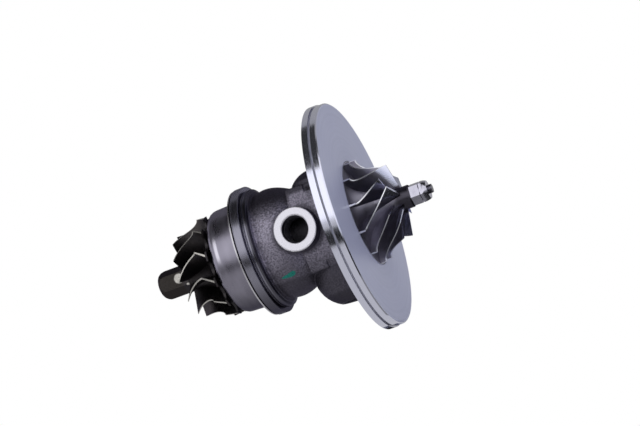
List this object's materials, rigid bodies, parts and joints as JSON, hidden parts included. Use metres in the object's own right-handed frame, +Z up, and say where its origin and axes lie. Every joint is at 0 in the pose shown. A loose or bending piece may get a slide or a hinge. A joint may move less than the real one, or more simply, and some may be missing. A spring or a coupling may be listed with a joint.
{
  "type": "turbo cartridge",
  "caption": "Turbocharger core: bladed compressor and turbine wheels on one shaft in floating bushes, carried by a cast bearing housing with a round back plate and heat shield.",
  "frame": {"origin": "on the shaft axis, in the joint face between the bearing housing and the back plate", "axes": "+X along the shaft towards the compressor end, +Z up with the oil inlet on top and the drain below, coolant ports along Y"},
  "size_m": [0.1694, 0.132, 0.132],
  "materials": {
    "cast_housing": "sandy cast",
    "turned_plate": "satin turned",
    "zinc_steel": "plated",
    "seal_rubber": "matt",
    "cover_aluminium": "turned",
    "sheet_steel": "satin pressed sheet",
    "bearing_bronze": "turned",
    "ground_steel": "ground",
    "spring_steel": "dark",
    "turbine_alloy": "as cast",
    "wheel_aluminium": "cast, machined edges"
  },
  "bodies": {
    "housing": {"bearing_housing": "cast_housing", "back_plate": "turned_plate", "back_plate_screws": "zinc_steel", "back_plate_washers": "zinc_steel", "back_plate_o_ring": "seal_rubber", "seal_cover": "cover_aluminium", "seal_cover_o_ring": "seal_rubber", "oil_deflector": "sheet_steel", "thrust_bearing": "bearing_bronze", "thrust_bearing_pins": "ground_steel", "bearing_retaining_rings": "spring_steel", "heat_shield": "sheet_steel", "turbine_piston_ring": "spring_steel", "compressor_piston_ring": "spring_steel"},
    "rotor": {"turbine_wheel": "turbine_alloy", "rotor_shaft": "ground_steel", "thrust_ring_inner": "ground_steel", "thrust_spacer": "ground_steel", "thrust_ring_outer": "ground_steel", "oil_flinger": "ground_steel", "compressor_wheel": "wheel_aluminium", "compressor_nut": "zinc_steel"},
    "bush_compressor": {"journal_bearing_compressor": "bearing_bronze"},
    "bush_turbine": {"journal_bearing_turbine": "bearing_bronze"}
  },
  "joints": [
    {"name": "rotor_spin", "type": "hinge", "parent": "housing", "child": "rotor", "pos_m": [0, 0, 0], "axis": [1, 0, 0], "continuous": true},
    {"name": "bush_compressor_spin", "type": "hinge", "parent": "housing", "child": "bush_compressor", "pos_m": [-0.02, 0, 0], "axis": [1, 0, 0], "continuous": true},
    {"name": "bush_turbine_spin", "type": "hinge", "parent": "housing", "child": "bush_turbine", "pos_m": [-0.047, 0, 0], "axis": [1, 0, 0], "continuous": true}
  ],
  "couplings": [
    {"joint": "bush_compressor_spin", "follows": "rotor_spin", "ratio": 0.3},
    {"joint": "bush_turbine_spin", "follows": "rotor_spin", "ratio": 0.3}
  ]
}
